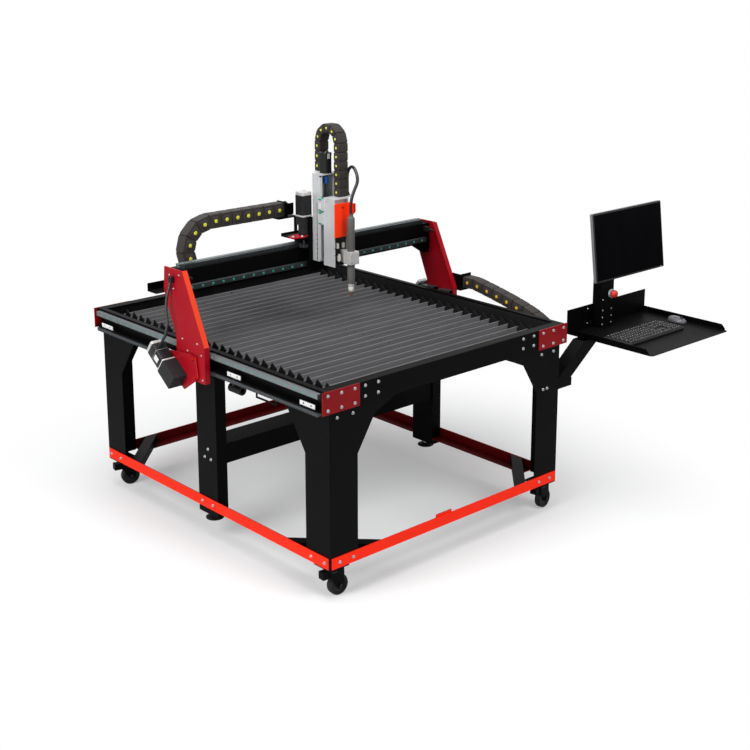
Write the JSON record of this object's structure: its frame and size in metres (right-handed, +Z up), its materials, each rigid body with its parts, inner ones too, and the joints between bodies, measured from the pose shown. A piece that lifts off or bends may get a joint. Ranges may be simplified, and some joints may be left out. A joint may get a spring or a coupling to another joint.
{
  "type": "plasma cutting table",
  "caption": "Steel cutting table on casters with a slatted water pan, a rack-driven gantry carrying a torch lift, and an operator station with screen and keyboard on a side arm.",
  "frame": {"origin": "on the floor, under the middle of the table between its legs", "axes": "+X to the right along the gantry beam towards the operator station, +Y to the back along the gantry travel, +Z up"},
  "size_m": [2.555, 2.201, 1.9419],
  "materials": {
    "black_coat": "satin powder coat",
    "corner_red": "satin powder coat",
    "rail_red": "satin powder coat",
    "gantry_red": "satin powder coat",
    "rail_steel": "ground",
    "rack_steel": "machined",
    "white_plate": "satin",
    "comb_black": "matt",
    "slat_steel": "mill scale",
    "drain_rubber": "moulded",
    "bolt_zinc": "zinc plated",
    "caster_black": "satin",
    "caster_tread": "moulded",
    "foot_steel": "black oxide",
    "chain_plastic": "moulded",
    "conduit_plastic": "ribbed",
    "bearing_steel": "ground",
    "gearbox_black": "black anodised",
    "motor_black": "black with silver ends",
    "silver_alloy": "brushed",
    "bracket_orange": "satin",
    "torch_black": "moulded with a copper tip",
    "estop_silver": "turned",
    "estop_red": "moulded",
    "desk_plastic": "moulded",
    "screen_black": "moulded"
  },
  "bodies": {
    "table": {"legs": "black_coat", "end_beams": "black_coat", "side_channels": "black_coat", "corner_plates": "corner_red", "lower_rails": "rail_red", "corner_braces": "black_coat", "mid_cross_beam": "black_coat", "side_linear_rails": "rail_steel", "side_racks": "rack_steel", "rack_clamp_plates": "white_plate", "slat_combs": "comb_black", "slats": "slat_steel", "water_pan": "black_coat", "drain_fitting": "drain_rubber", "frame_bolts": "bolt_zinc", "caster_plates": "caster_black", "y_chain_tray": "black_coat", "y_chain": "chain_plastic", "station_arm": "black_coat", "station_tray": "black_coat", "monitor_post": "black_coat", "estop_collar": "estop_silver", "keyboard": "desk_plastic", "mouse": "desk_plastic"},
    "gantry": {"gantry_beam": "black_coat", "gantry_plates": "gantry_red", "beam_linear_rails": "rail_steel", "beam_rack": "rack_steel", "gantry_bearings": "bearing_steel", "x_chain_tray": "black_coat", "x_chain": "chain_plastic", "side_gearboxes": "gearbox_black", "side_motors": "motor_black", "drive_pivot_plates": "gantry_red", "motor_conduits": "conduit_plastic"},
    "carriage": {"carriage_plates": "silver_alloy", "x_motor": "motor_black", "lift_channel": "silver_alloy", "z_motor": "motor_black", "z_chain": "chain_plastic"},
    "torch_lift": {"torch_slide": "silver_alloy", "torch_bracket": "bracket_orange", "torch": "torch_black", "torch_lead": "conduit_plastic"},
    "caster_fork_bl_body": {"caster_fork_bl": "caster_black"},
    "caster_fork_br_body": {"caster_fork_br": "caster_black"},
    "caster_fork_fl_body": {"caster_fork_fl": "caster_black"},
    "caster_fork_fr_body": {"caster_fork_fr": "caster_black"},
    "caster_wheel_bl_body": {"caster_wheel_bl": "caster_tread"},
    "caster_wheel_br_body": {"caster_wheel_br": "caster_tread"},
    "caster_wheel_fl_body": {"caster_wheel_fl": "caster_tread"},
    "caster_wheel_fr_body": {"caster_wheel_fr": "caster_tread"},
    "estop_button_body": {"estop_button": "estop_red"},
    "lead_screw_body": {"lead_screw": "rack_steel"},
    "left_foot_body": {"left_foot": "foot_steel"},
    "left_pinion_body": {"left_pinion": "rack_steel"},
    "monitor_body": {"monitor": "screen_black"},
    "right_foot_body": {"right_foot": "foot_steel"},
    "right_pinion_body": {"right_pinion": "rack_steel"},
    "x_pinion_body": {"x_pinion": "rack_steel"}
  },
  "joints": [
    {"name": "gantry_travel", "type": "slide", "parent": "table", "child": "gantry", "axis": [0, 1, 0], "range_m": [-0.66, 0.66], "deforming": ["y_chain"]},
    {"name": "carriage_travel", "type": "slide", "parent": "gantry", "child": "carriage", "axis": [1, 0, 0], "range_m": [-0.6, 0.6], "deforming": ["x_chain"]},
    {"name": "torch_lift_travel", "type": "slide", "parent": "carriage", "child": "torch_lift", "axis": [0, 0, 1], "range_m": [-0.14, 0.02], "deforming": ["z_chain"]},
    {"name": "left_pinion_spin", "type": "hinge", "parent": "gantry", "child": "left_pinion_body", "pos_m": [-0.786, 0.08, 0.84631], "axis": [1, 0, 0], "continuous": true},
    {"name": "right_pinion_spin", "type": "hinge", "parent": "gantry", "child": "right_pinion_body", "pos_m": [0.786, 0.08, 0.84631], "axis": [1, 0, 0], "continuous": true},
    {"name": "x_pinion_spin", "type": "hinge", "parent": "carriage", "child": "x_pinion_body", "pos_m": [-0.065, 0.08831, 1.335], "axis": [0, 0, 1], "continuous": true},
    {"name": "lead_screw_spin", "type": "hinge", "parent": "carriage", "child": "lead_screw_body", "pos_m": [0.013, 0.008, 1.5], "axis": [0, 0, 1], "continuous": true},
    {"name": "caster_swivel_fl", "type": "hinge", "parent": "table", "child": "caster_fork_fl_body", "pos_m": [-0.695, -0.845, 0.135], "axis": [0, 0, 1], "continuous": true},
    {"name": "caster_roll_fl", "type": "hinge", "parent": "caster_fork_fl_body", "child": "caster_wheel_fl_body", "pos_m": [-0.66511, -0.84762, 0.049], "axis": [0.0872, 0.9962, 0], "continuous": true},
    {"name": "caster_swivel_fr", "type": "hinge", "parent": "table", "child": "caster_fork_fr_body", "pos_m": [0.695, -0.845, 0.135], "axis": [0, 0, 1], "continuous": true},
    {"name": "caster_roll_fr", "type": "hinge", "parent": "caster_fork_fr_body", "child": "caster_wheel_fr_body", "pos_m": [0.72471, -0.84083, 0.049], "axis": [-0.1392, 0.9903, 0], "continuous": true},
    {"name": "caster_swivel_bl", "type": "hinge", "parent": "table", "child": "caster_fork_bl_body", "pos_m": [-0.695, 0.845, 0.135], "axis": [0, 0, 1], "continuous": true},
    {"name": "caster_roll_bl", "type": "hinge", "parent": "caster_fork_bl_body", "child": "caster_wheel_bl_body", "pos_m": [-0.66566, 0.83876, 0.049], "axis": [0.2079, 0.9781, 0], "continuous": true},
    {"name": "caster_swivel_br", "type": "hinge", "parent": "table", "child": "caster_fork_br_body", "pos_m": [0.695, 0.845, 0.135], "axis": [0, 0, 1], "continuous": true},
    {"name": "caster_roll_br", "type": "hinge", "parent": "caster_fork_br_body", "child": "caster_wheel_br_body", "pos_m": [0.72484, 0.84814, 0.049], "axis": [-0.1045, 0.9945, 0], "continuous": true},
    {"name": "left_foot_screw", "type": "slide", "parent": "table", "child": "left_foot_body", "axis": [0, 0, -1], "range_m": [0, 0.095]},
    {"name": "right_foot_screw", "type": "slide", "parent": "table", "child": "right_foot_body", "axis": [0, 0, -1], "range_m": [0, 0.095]},
    {"name": "estop_push", "type": "slide", "parent": "table", "child": "estop_button_body", "axis": [0, 1, 0], "range_m": [0, 0.005], "stiffness_N_per_m": 800},
    {"name": "monitor_tilt", "type": "hinge", "parent": "table", "child": "monitor_body", "pos_m": [1.236, -0.812, 1.304], "axis": [1, 0, 0], "range_deg": [-12, 12]}
  ],
  "couplings": [
    {"joint": "left_pinion_spin", "follows": "gantry_travel", "rad_per_m": 48.332},
    {"joint": "right_pinion_spin", "follows": "gantry_travel", "rad_per_m": 48.332},
    {"joint": "x_pinion_spin", "follows": "carriage_travel", "rad_per_m": 48.332},
    {"joint": "lead_screw_spin", "follows": "torch_lift_travel", "rad_per_m": 628.32}
  ]
}
